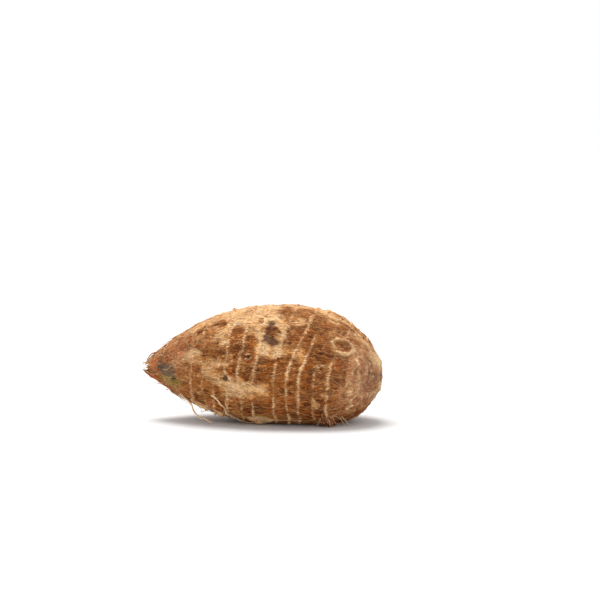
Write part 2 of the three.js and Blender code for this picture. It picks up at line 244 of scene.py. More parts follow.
# Fine skin: points round it, and spacing of its rows on the crests, between them and at the ends.
COLUMNS = 392
CREST_ROWS = (-0.62, -0.34, -0.12, 0.12, 0.34, 0.62)
ROW_SPACING = 0.82
END_SPACING = 0.62
# The cylinder of the skin's pattern, which narrows with the form beyond CAP_X.
FLOW_RADIUS = 27.0
CAP_X = 44.0

# The photographed frame, in pixels of a 600 x 600 picture.
FRAME_PX = 600
ROOT_CENTRE_PX = (262.6, 362.6)
MM_PER_PX = 112 / 240
# Floor and lamp, in metres and degrees.
FLOOR_HALF = 6.0
FLOOR_GAP = 0.0001
LAMP_SPREAD_DEG = 34
LAMP_FROM = (-0.18, 0.15, 1.0)


def unit(vectors):
    """Each vector divided by its own length."""
    return vectors / np.maximum(np.linalg.norm(vectors, axis=-1, keepdims=True), 1e-12)


def smoothstep(value, low, high):
    """0 below low, 1 above high, and 3s^2 - 2s^3 of the share s between them."""
    share = np.clip((value - low) / (high - low), 0, 1)
    return share * share * (3 - 2 * share)


def noise(places, seed):
    """Random values at whole-number places, from -1 to 1, eased between them on all three axes."""
    cell = np.floor(places).astype(np.int64)
    share = places - cell
    ease = share**3 * (share * (share * 6 - 15) + 10)
    total = np.zeros(places.shape[:-1])
    for corner in product((0, 1), repeat=3):
        key = (cell + np.array(corner)).astype(np.uint32)
        mixed = key[..., 0] * np.uint32(374761393) + key[..., 1] * np.uint32(668265263)
        mixed = mixed + key[..., 2] * np.uint32(2246822519) + np.uint32(seed * 362437)
        mixed = (mixed ^ (mixed >> np.uint32(13))) * np.uint32(1274126177)
        mixed = (mixed ^ (mixed >> np.uint32(16))) * np.uint32(2654435769)
        value = (mixed ^ (mixed >> np.uint32(15))).astype(np.float64) / 4294967295.0
        weight = np.prod(np.where(np.array(corner) == 1, ease, 1 - ease), axis=-1)
        total += weight * value
    return total * 2 - 1


def form_radius(x):
    """Half height at x: belly radius times (1 - share^power)^root, share running from belly to end."""
    share = np.where(x < BELLY_X, (BELLY_X - x) / (BELLY_X - TIP_X), (x - BELLY_X) / (BASE_X - BELLY_X))
    power = np.where(x < BELLY_X, TIP_CURVE[0], BASE_CURVE[0])
    root = np.where(x < BELLY_X, TIP_CURVE[1], BASE_CURVE[1])
    return BELLY_RADIUS * np.maximum(0, 1 - np.clip(share, 0, 1) ** power) ** root


def form_x(radius, towards_tip):
    """The x of one half where the root has that radius, which undoes form_radius."""
    power, root = TIP_CURVE if towards_tip else BASE_CURVE
    share = (1 - (radius / BELLY_RADIUS) ** (1 / root)) ** (1 / power)
    return BELLY_X + share * ((TIP_X if towards_tip else BASE_X) - BELLY_X)


def axis_height(x):
    """Height of the axis: highest at the belly, sinking by a power curve to each end."""
    to_tip, to_base = (np.clip((x - BELLY_X) / (end - BELLY_X), 0, 1.05) for end in (TIP_X, BASE_X))
    return AXIS_HEIGHT - TIP_DROP * to_tip**6 - BASE_DROP * to_base**1.6


def body_point(x, angle, rise):
    """A point on the body of revolution with its low lobes, raised along the plain form's normal."""
    inside = np.clip(x, TIP_X + SLOPE_STEP, BASE_X - SLOPE_STEP)
    slope = (form_radius(inside + SLOPE_STEP) - form_radius(inside - SLOPE_STEP)) / (2 * SLOPE_STEP)
    norm = np.hypot(1, slope)
    lobed = 1.0
    for share, count, pitch, start in LOBES:
        lobed = lobed + share * np.cos(count * angle + x / pitch + start)
    radius = form_radius(x) * lobed + rise / norm
    height = axis_height(x) + radius * np.sin(angle)
    y = -DEPTH_SHARE * radius * np.cos(angle)
    return np.stack([x - rise * slope / norm, y, np.maximum(0, height)], axis=-1)


def axis_point(x):
    """The point of the axis at x."""
    return np.stack([x, np.zeros_like(x), axis_height(x)], axis=-1)


def ring_number(x0):
    """Counts the rings along X: whole on each crest and halfway in the middle of a band."""
    middles = (CREST_X[1:] + CREST_X[:-1]) / 2
    count = np.arange(len(CREST_X))
    low, high = CREST_X - RING_HALF_WIDTH, CREST_X + RING_HALF_WIDTH
    places = np.concatenate([low, high, middles, [BASE_X]])
    numbers = np.concatenate([count, count, count[:-1] + 0.5, [len(CREST_X)]])
    order = np.argsort(places)
    return np.interp(x0, places[order], numbers[order])


def ring_shift(x0, angle):
    """How far the rings move along X: a lean of the top towards the base, and two small waves."""
    ring = ring_number(x0)
    lean = LEAN[0] * np.exp(-(((x0 - LEAN[1]) / LEAN[2]) ** 2))
    height = np.sin(angle)
    upper = (height + np.sqrt(height * height + LEAN[3])) / 2 - LEAN[4]
    wave = 0.0
    for size, count, shift in RING_WAVES:
        wave = wave + size * np.sin(count * angle + shift * ring)
    from_end = np.minimum(x0 - TIP_X, BASE_X - x0) / RING_CALM
    return (lean * upper + wave) * smoothstep(from_end, 0, 1)


def spot_distance(spot, x, angle):
    """Distance from a spot's centre in half sizes of the spot, measured on the unrolled skin."""
    turn = angle - math.radians(spot[1])
    across = form_radius(np.array(float(spot[0]))) * np.arctan2(np.sin(turn), np.cos(turn))
    return np.hypot((x - spot[0]) / spot[2], across / spot[3])


def spots_sum(spots, x, angle):
    """Sum of round hills, each its amount times e^(-distance^2)."""
    return sum(spot[4] * np.exp(-(spot_distance(spot, x, angle) ** 2)) for spot in spots)


def line_distance(line, x, angle):
    """Distance in mm from a line on the unrolled skin, or from its nearer end for a place past it.
    The line bows to one side as a sine arch over the straight way between its ends."""
    x1, a1, x2, a2, bow = line[:5]
    radius = form_radius(np.array((x1 + x2) / 2))
    turn = angle - math.radians(a1)
    u = x - x1
    v = radius * np.arctan2(np.sin(turn), np.cos(turn))
    du = x2 - x1
    dv = float(radius * math.radians(a2 - a1))
    length = math.hypot(du, dv)
    share = np.clip((u * du + v * dv) / length**2, 0, 1)
    off = (v * du - u * dv) / length
    past = np.hypot(u - share * du, v - share * dv)
    beyond = np.sqrt(np.maximum(0, past**2 - off**2))
    return np.hypot(off - bow * np.sin(math.pi * share), beyond)


def flow_point(x0, angle):
    """A point of the pattern's own cylinder, so that ridges run lengthwise. Its radius shrinks with
    the form over the base cap, so nothing streaks towards the end."""
    radius = FLOW_RADIUS * form_radius(np.maximum(x0, CAP_X)) / form_radius(np.array(CAP_X))
    return np.stack([x0, radius * np.cos(angle), radius * np.sin(angle)], axis=-1).reshape(-1, 3)


def skin_fields(x0, angle):
    """Rise of the skin over the body and the strength of each marking, painted light and shade among
    them, at places (x0, angle).

    x0 is the place before the rings lean, so crests lie on constant x0. The rise is the sum of crests,
    swelling bands, bark with a ragged edge, lengthwise ridges, spots, lines and the base scar.
    """
    looks = bpy.context.scene.taro_sizes
    flat = flow_point(x0, angle)
    up = np.sin(angle)

    def field(sizes, seed, lead=None):
        places = flat / np.array(sizes)
        if lead is not None:
            places[:, 0] = lead.ravel()
        return noise(places, seed).reshape(x0.shape)

    def ring_noises(rows, ring):
        """Noises round the root that differ from ring to ring."""
        return sum(
            amount * field((1, size, size), seed, ring * pace) for amount, size, seed, pace in rows
        )

    # The place among the rings: the band, the share of its width and the nearest crest.
    band = np.searchsorted(CREST_X, x0)
    ring = ring_number(x0)
    near = np.clip(np.round(ring), 0, len(CREST_X) - 1).astype(int)
    from_crest = x0 - CREST_X[near]
    edges = np.concatenate([[TIP_X], CREST_X, [BASE_X]])
    in_band = (x0 - edges[band]) / np.diff(edges)[band]
    into_cap = smoothstep(x0, CREST_X[-1] - 3, CREST_X[-1] + 4)
    ends_calm = smoothstep(np.minimum(x0 - TIP_X, BASE_X - x0), 1, 8)
    x = x0 + ring_shift(x0, angle) + ring_noises(RING_WOBBLE, ring) * ends_calm

    # How whole a crest is round the root: broken by coarse and fine noise, and gone on peeled skin.
    whole = np.clip(0.68 + ring_noises(RING_BREAKS, near), 0.05, 1.15)
    whole = whole * np.clip(1 + spots_sum(CREST_SPOTS, x, angle), 0, 2.6)
    crest = RING_STRENGTH[near] * whole * np.exp(-((from_crest / CREST_HALF_WIDTH) ** 2))

    # The bark: ragged by noise of three sizes, heavier low down, thin on top and on the base cap.
    bark = 0.3 + 0.62 * field((1, 9, 8), 5, band * 4.7) + 0.55 * field((5, 4.6, 4.6), 6)
    bark += 0.3 * field((2.2, 1.5, 1.5), 7) + spots_sum(PATCHES, x, angle)
    bark -= 0.55 * into_cap
    low_side = smoothstep(-up, 0.1, 0.9)
    bark += 0.15 * low_side - 0.25 * smoothstep(up, 0.72, 1)
    cover = smoothstep(bark, 0.0, 0.35)

    # Lengthwise ridges and round lumps.
    coarse = field((9, 1.9, 1.9), 8)
    fine = field((5, 0.95, 0.95), 9)
    ridges = (1 - np.abs(coarse) * 2.2) * 0.5 + (1 - np.abs(fine) * 2.2) * 0.5
    calm = 1 - 0.75 * into_cap
    lumps = field((7, 6, 6), 10) + 0.5 * field((2.8, 2.6, 2.6), 11)

    tints = {key: np.clip(spots_sum(spots, x, angle), 0, 1) for key, spots in TINT_SPOTS.items()}
    pink = tints["pink"]
    rise = looks.crest_height / MM * crest * (1 - 0.55 * pink)
    rise += BAND_SWELL * np.clip(1 - (2 * in_band - 1) ** 2, 0, 1) * (1 - into_cap)
    rise += looks.bark_thickness / MM * cover * (1 - 0.5 * pink)
    rise += looks.ridge_height / MM * ridges * (0.4 + 0.6 * cover) * calm
    hills = into_cap * field((6.5, 6.5, 6.5), 16)
    rise += LUMP_HEIGHT * lumps + HILL_HEIGHT * hills

    # Pale and dark places of the skin, some of them painted light and shade, and the buds, root scars
    # and lines that also change its rise.
    peeled = spots_sum(PALE_SPOTS, x, angle) + 0.3 * field((6, 1.7, 1.7), 18) + 0.12 * fine
    # Peeled spots are pale; on the low side they are made paler still, which is painted light on skin
    # that faces the ground.
    pale = crest + (0.55 + 0.8 * low_side) * smoothstep(peeled, 0.3, 0.62)
    # Painted light: the top of the root, away from the tip end, is paler where the bark is thin.
    upper = smoothstep(up, 0.2, 1) * smoothstep(x0, -40, -20)
    pale += 0.27 * upper * (1 + 0.9 * coarse) * (1 - 0.88 * cover)
    # Painted light and shade on the base's hills: paler on their tops, and darker in the dips by the
    # second term of dark below.
    pale += 0.5 * smoothstep(hills, 0.1, 0.28) * (1 + coarse)
    # Painted shade: skin that faces the ground is darkened, except on peeled spots.
    under = smoothstep(-up, 0.86, 0.97) * (1 - smoothstep(peeled, 0.2, 0.5))
    dark = 0.6 * under * (1 + 0.6 * coarse) + 0.45 * smoothstep(-hills, 0.1, 0.3)
    for bud in BUDS:
        inside = np.minimum(1, spot_distance(bud, x, angle))
        rise += bud[4] * (1 - inside**2) ** 2
    for scar in ROOT_SCARS:
        depth, rim_height = scar[4:6]
        d = spot_distance(scar, x, angle)
        d = d + 0.2 * lumps + 0.14 * field((1.7, 1.7, 1.7), 17)
        rim = np.exp(-(((d - 1) / 0.2) ** 2))
        inside = smoothstep(1 - d, 0, 0.5)
        rise += rim_height * rim - depth * inside * (1 + 0.4 * fine)
        pale += 1.2 * rim
        # The scar's floor is darker, and darker still where it is deeper, which is painted shade.
        dark += (0.16 + 0.35 * fine) * smoothstep(1 - d, 0.1, 0.4)
    torn = np.clip(0.85 + 1.3 * field((2.2, 2.2, 2.2), 19) + 0.5 * fine, 0.1, 1.25)
    for line in LINES:
        width, height = line[5:7]
        d = line_distance(line, x, angle) * (1 + 0.3 * lumps)
        mark = torn * np.exp(-((d / width) ** 2))
        rise += height * mark
        if height > 0:
            pale += 0.95 * mark
        else:
            # Painted shade: a groove is darkened along its length.
            dark += 0.9 * mark

    # The base: shallow hollow inside a low rim, with a corky, pitted floor. The tip's half is FAR off.
    base_half = smoothstep(x0, BELLY_X, BELLY_X + 20)
    to_axis = form_radius(x) * base_half + FAR * (1 - base_half)
    rim = np.exp(-(((to_axis - BASE_SCAR["radius"]) / BASE_SCAR["rim_width"]) ** 2))
    hollow = smoothstep(BASE_SCAR["radius"] - to_axis, -0.2, 1.6)
    cork = field((1.2, 1.2, 1.2), 12, to_axis / 1.1)
    rise += BASE_SCAR["rim"] * rim - BASE_SCAR["depth"] * hollow * (1 + 0.35 * cork)
    pale += 0.6 * rim
    # Painted shade: the base's floor is darker where its pits are deeper.
    dark += 0.4 * hollow * smoothstep(cork, -0.1, 0.6)

    stain = spots_sum(STAINS, x, angle) * (1 + 0.8 * field((1.6, 1.6, 1.6), 13))
    rise -= STAIN_DEPTH * smoothstep(stain, 0.35, 0.9)
    # Painted shade in the dips between the ridges and under the lumps.
    hollow_shade = smoothstep(-ridges, -0.25, 0.75) * 0.55 * calm + 0.7 * smoothstep(-lumps, 0.1, 0.9)
    return tints | {
        "x": x,
        "rise": rise,
        "bark": bark,
        "pale": np.clip(pale, 0, 1.2),
        "dark": np.clip(dark, 0, 1),
        "stain": smoothstep(stain, 0.25, 0.75),
        "tip": smoothstep(-x0, 26, 44),
        "hollow": np.clip(hollow_shade, 0, 1),
    }


def skin_point(x0, angle, lift, clearance=0.0):
    """A point lift mm over the finished skin, at least clearance above the ground."""
    fields = skin_fields(x0, angle)
    point = body_point(fields["x"], angle, fields["rise"] + lift)
    point[..., 2] = np.maximum(point[..., 2], clearance)
    return point


def within_box(points, margin):
    """Points held inside the solid's box, margin mm over it on each side and never under the ground."""
    low = np.array(CAD_BOX[0]) / MM - margin
    high = np.array(CAD_BOX[1]) / MM + margin
    low[2] = LOWEST
    return np.clip(points, low, high)


def make_piece(name, points, faces, material, attributes):
    """A mesh from points in mm and a list of face arrays; it rides on the body and joins the scene."""
    mesh = bpy.data.meshes.new(name)
    loops = np.concatenate([part.ravel() for part in faces]).astype(np.int32)
    totals = np.concatenate([np.full(len(part), part.shape[1]) for part in faces]).astype(np.int32)
    starts = np.concatenate([[0], np.cumsum(totals)[:-1]]).astype(np.int32)
    mesh.vertices.add(len(points))
    mesh.vertices.foreach_set("co", (points * MM).astype(np.float32).ravel())
    mesh.loops.add(len(loops))
    mesh.loops.foreach_set("vertex_index", loops)
    mesh.polygons.add(len(totals))
    mesh.polygons.foreach_set("loop_start", starts)
    mesh.polygons.foreach_set("loop_total", totals)
    mesh.polygons.foreach_set("use_smooth", np.full(len(totals), True))
    mesh.update(calc_edges=True)
    for key, values in attributes.items():
        values = np.asarray(values, np.float32)
        kind = "FLOAT_VECTOR" if values.ndim == 2 else "FLOAT"
        layer = mesh.attributes.new(key, kind, "POINT")
        layer.data.foreach_set("vector" if values.ndim == 2 else "value", values.ravel())
    if mesh.validate():
        raise RuntimeError(f"{name} has faulty faces")
    mesh.materials.append(material)
    piece = bpy.data.objects.new(name, mesh)
    bpy.context.scene.collection.objects.link(piece)
    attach(piece, BODY)
    return piece


def closed_faces(rows, columns):
    """Quads round a grid of rings and triangles to a point at each end. The first end is point 0, then
    come the rings and the last end. The faces of a tube's rings look outwards."""
    step, side = np.meshgrid(np.arange(rows - 1), np.arange(columns), indexing="ij")
    here = 1 + step * columns + side
    beside = 1 + step * columns + (side + 1) % columns
    quads = np.stack([here, beside, beside + columns, here + columns], axis=-1).reshape(-1, 4)
    turn = np.arange(columns)
    turn_on = (turn + 1) % columns
    last = 1 + (rows - 1) * columns
    first_cap = np.stack([0 * turn, 1 + turn_on, 1 + turn], axis=1)
    last_cap = np.stack([0 * turn + last + columns, last + turn, last + turn_on], axis=1)
    return quads, np.concatenate([first_cap, last_cap])


def tubes(paths, radii, ups, sides):
    """Closed tubes: a ring of points is carried along each path, and a point closes each end.

    The first direction of a ring is kept square to the path by taking away its part along the path.
    """
    count, steps = paths.shape[:2]
    along = unit(np.gradient(paths, axis=1))
    first = np.empty_like(paths)
    direction = np.broadcast_to(ups, (count, 3))
    for step in range(steps):
        ahead = along[:, step]
        direction = unit(direction - np.sum(direction * ahead, axis=1, keepdims=True) * ahead)
        first[:, step] = direction
    second = np.cross(along, first)
    turn = 2 * np.pi * np.arange(sides) / sides
    offset = np.cos(turn)[:, None] * first[:, :, None] + np.sin(turn)[:, None] * second[:, :, None]
    rings = paths[:, :, None] + radii[:, :, None, None] * offset
    start = paths[:, 0] - along[:, 0] * radii[:, :1]
    end = paths[:, -1] + along[:, -1] * radii[:, -1:]
    rings = rings.reshape(count, steps * sides, 3)
    points = np.concatenate([start[:, None], rings, end[:, None]], axis=1)
    shift = (np.arange(count) * points.shape[1])[:, None, None]
    faces = [(part[None] + shift).reshape(-1, part.shape[1]) for part in closed_faces(steps, sides)]
    return points.reshape(-1, 3), faces


def make_strands(name, paths, radii, ups, sides, material, shades, over=OVER_BOX):
    """A piece of closed tubes along the paths, each with its own shade."""
    points, faces = tubes(paths, radii, ups, sides)
    shade = np.repeat(shades, paths.shape[1] * sides + 2)
    make_piece(name, within_box(points, over), faces, material, {"shade": shade})


MARKS = ("bark", "pale", "dark", "stain", "pink", "tip", "hollow", "red", "blue", "green")


def mark_layers(fields, x0, angle):
    """The fields that the skin's material reads, one value or vector for each point."""
    return {key: fields[key].ravel() for key in MARKS} | {"flow": flow_point(x0, angle) * MM}


def shells(tops, bottoms):
    """Closed thin sheets: a top and a bottom grid of points, joined by walls round their edges."""
    count, rows, cols = tops.shape[:3]
    points = np.stack([tops, bottoms], axis=1).reshape(-1, 3)
    row, col = np.meshgrid(np.arange(rows - 1), np.arange(cols - 1), indexing="ij")
    corner = (row * cols + col).ravel()
    top = np.stack([corner, corner + cols, corner + cols + 1, corner + 1], axis=1)
    under = top[:, ::-1] + rows * cols
    rim = np.concatenate(
        [
            np.arange(cols),
            cols - 1 + cols * np.arange(1, rows),
            (rows - 1) * cols + np.arange(cols - 2, -1, -1),
            cols * np.arange(rows - 2, 0, -1),
        ]
    )
    after = np.roll(rim, -1)
    wall = np.stack([rim, after, after + rows * cols, rim + rows * cols], axis=1)
    shift = (np.arange(count) * 2 * rows * cols)[:, None, None]
    return points, [(np.concatenate([top, under, wall])[None] + shift).reshape(-1, 4)]


class Wiring:
    """Builds one material's nodes; each method adds a node and gives back its output."""

    def __init__(self, name):
        self.material = bpy.data.materials.new(name)
        self.material.use_nodes = True
        self.tree = self.material.node_tree
        self.surface = self.tree.nodes["Principled BSDF"]

    def put(self, value, socket):
        """Links an output to the socket, or sets the socket's own value."""
        if isinstance(value, bpy.types.NodeSocket):
            self.tree.links.new(value, socket)
        else:
            socket.default_value = value

    def node(self, kind, **settings):
        made = self.tree.nodes.new(kind)
        for key, value in settings.items():
            setattr(made, key, value)
        return made

    def attribute(self, name, output="Fac"):
        return self.node("ShaderNodeAttribute", attribute_name=name).outputs[output]

    def noise(self, vector, sizes, detail=2.0, roughness=0.55, distortion=0.0):
        """Noise whose features have the given sizes in mm along the three axes."""
        mapping = self.node("ShaderNodeMapping")
        self.put(vector, mapping.inputs["Vector"])
        mapping.inputs["Scale"].default_value = [1 / (size * MM) for size in sizes]
        made = self.node("ShaderNodeTexNoise")
        self.put(mapping.outputs["Vector"], made.inputs["Vector"])
        values = {"Scale": 1, "Detail": detail, "Roughness": roughness, "Distortion": distortion}
        for key, value in values.items():
            made.inputs[key].default_value = value
        return made.outputs["Fac"]

    def math(self, operation, *values):
        made = self.node("ShaderNodeMath", operation=operation)
        for value, socket in zip(values, made.inputs):
            self.put(value, socket)
        return made.outputs[0]

    def times(self, first, second):
        return self.math("MULTIPLY", first, second)

    def plus(self, total, *rows):
        """The total with each row's signal times its amount added."""
        for signal, amount in rows:
            total = self.math("MULTIPLY_ADD", signal, amount, total)
        return total

    def spread(self, value, low, high, to_low=0.0, to_high=1.0):
        """value eased from low..high onto to_low..to_high."""
        made = self.node("ShaderNodeMapRange", interpolation_type="SMOOTHSTEP")
        keys = ("Value", "From Min", "From Max", "To Min", "To Max")
        for key, number in zip(keys, (value, low, high, to_low, to_high)):
            self.put(number, made.inputs[key])
        return made.outputs["Result"]

    def outline(self, value, width):
        """Thin winding lines: 1 where the noise is near its middle value, 0 further off than width."""
        return self.spread(self.math("ABSOLUTE", self.math("SUBTRACT", value, 0.5)), width, 0.0)

    def cell_borders(self, vector, size, width):
        """1 on the borders between irregular cells of that size in mm, 0 inside them."""
        bent = self.node("ShaderNodeVectorMath", operation="MULTIPLY_ADD")
        wave = self.node("ShaderNodeTexNoise")
        wave.inputs["Scale"].default_value = 0.5 / (size * MM)
        self.put(vector, wave.inputs["Vector"])
        self.put(wave.outputs["Color"], bent.inputs[0])
        bent.inputs[1].default_value = [size * MM] * 3
        self.put(vector, bent.inputs[2])
        cells = self.node("ShaderNodeTexVoronoi", feature="DISTANCE_TO_EDGE")
        cells.inputs["Scale"].default_value = 1 / (size * MM)
        self.put(bent.outputs[0], cells.inputs["Vector"])
        return self.spread(cells.outputs["Distance"], width, 0.0)

    def mix(self, share, first, second, blend="MIX"):
        made = self.node("ShaderNodeMix", data_type="RGBA", blend_type=blend)
        self.put(share, made.inputs["Factor"])
        for value, key in ((first, 6), (second, 7)):
            if not isinstance(value, bpy.types.NodeSocket):
                value = (*value, 1.0)
            self.put(value, made.inputs[key])
        return made.outputs[2]

    def over(self, colour, *rows):
        """The colour with each row's tint mixed over it by the row's share."""
        for share, tint in rows:
            colour = self.mix(share, colour, tint)
        return colour

    def bump(self, height, distance_mm, strength=1.0):
        made = self.node("ShaderNodeBump")
        made.inputs["Distance"].default_value = distance_mm * MM
        made.inputs["Strength"].default_value = strength
        self.put(height, made.inputs["Height"])
        self.put(made.outputs["Normal"], self.surface.inputs["Normal"])

    def finish(self, colour, roughness, specular=0.3):
        self.put(colour, self.surface.inputs["Base Color"])
        self.put(roughness, self.surface.inputs["Roughness"])
        self.surface.inputs["Specular IOR Level"].default_value = specular
        return self.material


def skin_material():
    """Tan peeled skin under ragged red-brown bark, with pale crests, stains, tinted tip, painted
    highlights and painted shade near the ground and in hollows.
    """
    c = bpy.context.scene.taro_colours
    w = Wiring("taro_skin")
    flow = w.attribute("flow", "Vector")
    place = w.node("ShaderNodeTexCoord").outputs["Object"]
    grain = w.noise(place, (0.9, 0.9, 0.9), 4, 0.65)
    blotch = w.noise(place, (5, 4, 4), 4, 0.6)
    wide = w.noise(place, (16, 12, 12), 2, 0.5)
    threads = w.noise(flow, (2.8, 0.6, 0.6), 3, 0.62, 0.6)
    strands = w.noise(flow, (6.0, 1.2, 1.2), 3, 0.6, 0.9)
    glint_and_mottle_flecks = w.noise(place, (0.8, 0.6, 0.6), 2, 0.6, 0.5)
    wrinkles = w.outline(w.noise(flow, (4.2, 1.5, 1.5), 2, 0.5, 1.2), 0.035)
    cracks = w.outline(w.noise(flow, (6.0, 2.6, 2.6), 3, 0.55, 1.6), 0.02)
    veins = w.outline(w.noise(flow, (5.5, 2.0, 2.0), 2, 0.5, 2.2), 0.022)

    tan = w.over(
        c.tan_pale,
        (w.spread(blotch, 0.35, 0.65), c.tan_deep),
        (w.spread(wide, 0.45, 0.7, 0, 0.7), c.tan_orange),
        (w.spread(threads, 0.48, 0.3, 0, 0.6), c.tan_groove),
        (w.spread(grain, 0.56, 0.72, 0, 0.5), c.bark_orange),
    )
    bark = w.over(
        c.bark_dark,
        (w.spread(blotch, 0.4, 0.62), c.bark_red),
        (w.spread(wide, 0.46, 0.66, 0, 0.75), c.bark_orange),
        (w.spread(strands, 0.54, 0.7, 0, 0.4), c.bark_fibre),
        (w.spread(threads, 0.56, 0.7, 0, 0.45), c.bark_fibre),
        (w.spread(threads, 0.42, 0.26, 0, 0.5), c.bark_deep),
    )

    # The bark's edge is torn by the noises, and worn and bare patches lie across it.
    torn = ((grain, 1.2), (threads, 0.9), (blotch, 1.2))
    torn = [(w.math("SUBTRACT", signal, 0.5), amount) for signal, amount in torn]
    edge = w.plus(w.attribute("bark"), *torn)
    cover = w.spread(edge, 0, 0.6)
    patch = w.noise(place, (3.6, 2.6, 2.6), 3, 0.62, 0.4)
    worn = w.times(w.spread(patch, 0.53, 0.62), w.spread(edge, -0.7, 0.2, 0.15, 0.75))
    bare = w.times(w.spread(patch, 0.46, 0.37), w.spread(edge, -0.2, 0.6, 0.7, 0.45))
    pink = w.attribute("pink")
    borders = w.times(w.cell_borders(place, 9.0, 0.08), pink)
    level = w.node("ShaderNodeSeparateXYZ")
    w.put(place, level.inputs[0])

    colour = w.over(
        tan,
        (w.spread(edge, -0.25, 0.2, 0, 0.8), c.thin_bark),
        (cover, bark),
        (worn, c.bark_dark),
        (bare, c.tan_deep),
        (w.times(w.attribute("tip"), w.spread(blotch, 0.3, 0.6, 0.35, 0.8)), c.tip_skin),
        (w.times(pink, w.spread(blotch, 0.3, 0.6, 0.35, 0.9)), c.pink_skin),
        (w.times(pink, w.spread(patch, 0.48, 0.6, 0, 0.8)), c.base_mauve),
        # Painted shade in the hollows of ridges and lumps.
        (w.times(w.attribute("hollow"), w.spread(cover, 0, 1, 0.25, 0.5)), c.bark_deep),
        (w.times(wrinkles, w.spread(cover, 0, 1, 0.25, 0.55)), c.bark_dark),
        (w.times(cracks, 0.6), c.bark_deep),
        (w.times(veins, 0.5), c.bark_fibre),
        # Painted highlight: pale glints speckled over the skin. The dark flecks on the next line are
        # mottling.
        (w.spread(glint_and_mottle_flecks, 0.6, 0.72, 0, 0.4), c.crest_pale),
        (w.times(w.spread(glint_and_mottle_flecks, 0.42, 0.3, 0, 0.5), w.spread(cover, 0, 1, 0.3, 1)), c.bark_deep),
        (w.times(borders, w.spread(grain, 0.38, 0.6, 0, 0.6)), c.crest_pale),
    )
    # Painted shade: the colour is multiplied darker and warmer towards the ground, from 15 mm down to 2
    # mm.
    colour = w.mix(w.spread(level.outputs["Z"], 15 * MM, 2 * MM), colour, c.painted_ground_shade, "MULTIPLY")
    # The pale and dark attributes carry the crests, rims and peeled skin, and also painted light: a
    # paler top, paler low peeled spots and hill tops, and painted shade underneath, in grooves, pits
    # and dips.
    colour = w.over(
        colour,
        (w.times(w.attribute("pale"), w.spread(grain, 0.3, 0.6, 0.45, 1)), c.crest_pale),
        (w.times(w.attribute("dark"), w.spread(grain, 0.35, 0.6, 0.9, 0.55)), c.bark_deep),
    )
    speck = w.spread(grain, 0.4, 0.6, 0.55, 1)
    tints = (("red", c.tip_red, 0.6), ("blue", c.tip_blue, 0.8), ("green", c.tip_green, 0.8))
    for key, tint, most in tints:
        colour = w.mix(w.spread(w.times(w.attribute(key), speck), 0.2, 0.65, 0, most), colour, tint)
    colour = w.mix(w.times(w.attribute("stain"), 0.85), colour, c.stain)

    warm = w.node("ShaderNodeHueSaturation")
    warm.inputs["Saturation"].default_value = bpy.context.scene.taro_stage.warmth
    w.put(colour, warm.inputs["Color"])

    raised = ((threads, 0.7), (cover, 0.5), (wrinkles, -0.4), (cracks, -0.6), (veins, 0.4))
    height = w.plus(w.times(grain, 0.7), *raised, (borders, 0.7), (worn, 0.5), (glint_and_mottle_flecks, 0.8))
    w.bump(height, 0.45)
    return w.finish(warm.outputs["Color"], w.spread(cover, 0, 1, 0.62, 0.85), 0.13)


def strand_material(name, first, second, roughness=0.7):
    """Plant fibre: two colours chosen by each strand's own shade, with fine mottling along it."""
    w = Wiring(name)
    place = w.node("ShaderNodeTexCoord").outputs["Object"]
    mottle = w.noise(place, (1.4, 0.7, 0.7), 3, 0.65)
    share = w.math("ADD", w.attribute("shade"), w.spread(mottle, 0.35, 0.65, -0.4, 0.3))
    colour = w.mix(w.spread(share, 0, 1), first, second)
    w.bump(mottle, 0.08, 0.6)
    return w.finish(colour, roughness, 0.3)


def size_mm(name, description, default, low=0.0):
    """A length given in mm and kept in metres."""
    words = {"name": name, "description": description, "subtype": "DISTANCE", "unit": "LENGTH"}
    return FloatProperty(default=default * MM, min=low * MM, precision=5, **words)


def angle_deg(name, description, degrees):
    """An angle given in degrees and kept in radians."""
    words = {"name": name, "description": description, "subtype": "ANGLE", "unit": "ROTATION"}
    return FloatProperty(default=math.radians(degrees), **words)


class TaroSizes(bpy.types.PropertyGroup):
    crest_height: size_mm("Crest height", "How far a leaf-scar ring stands over the skin", 0.6)
    bark_thickness: size_mm("Bark thickness", "Step from peeled skin up to the bark", 0.3)
    ridge_height: size_mm("Ridge height", "Height of the lengthwise ridges of the skin", 0.2)
    bead_spacing: size_mm("Bead spacing", "Distance between the beads of a ring", 1.15, 0.4)
    fibre_count: IntProperty(name="Fibres", description="Fibres lying on the skin", default=3600, min=1)
    hair_count: IntProperty(name="Hairs", description="Loose hairs", default=420, min=1)
    flake_count: IntProperty(name="Flakes", description="Lifted flakes of bark", default=56, min=1)


def display_rgb(name, description, red, green, blue):
    """A colour given as it shows on a display, 0 to 255, and kept as linear light."""
    shown = np.array([red, green, blue]) / 255
    linear = np.where(shown <= 0.04045, shown / 12.92, ((shown + 0.055) / 1.055) ** 2.4)
    return FloatVectorProperty(
        name=name, description=description, subtype="COLOR", size=3, min=0, max=1, default=tuple(linear)
    )


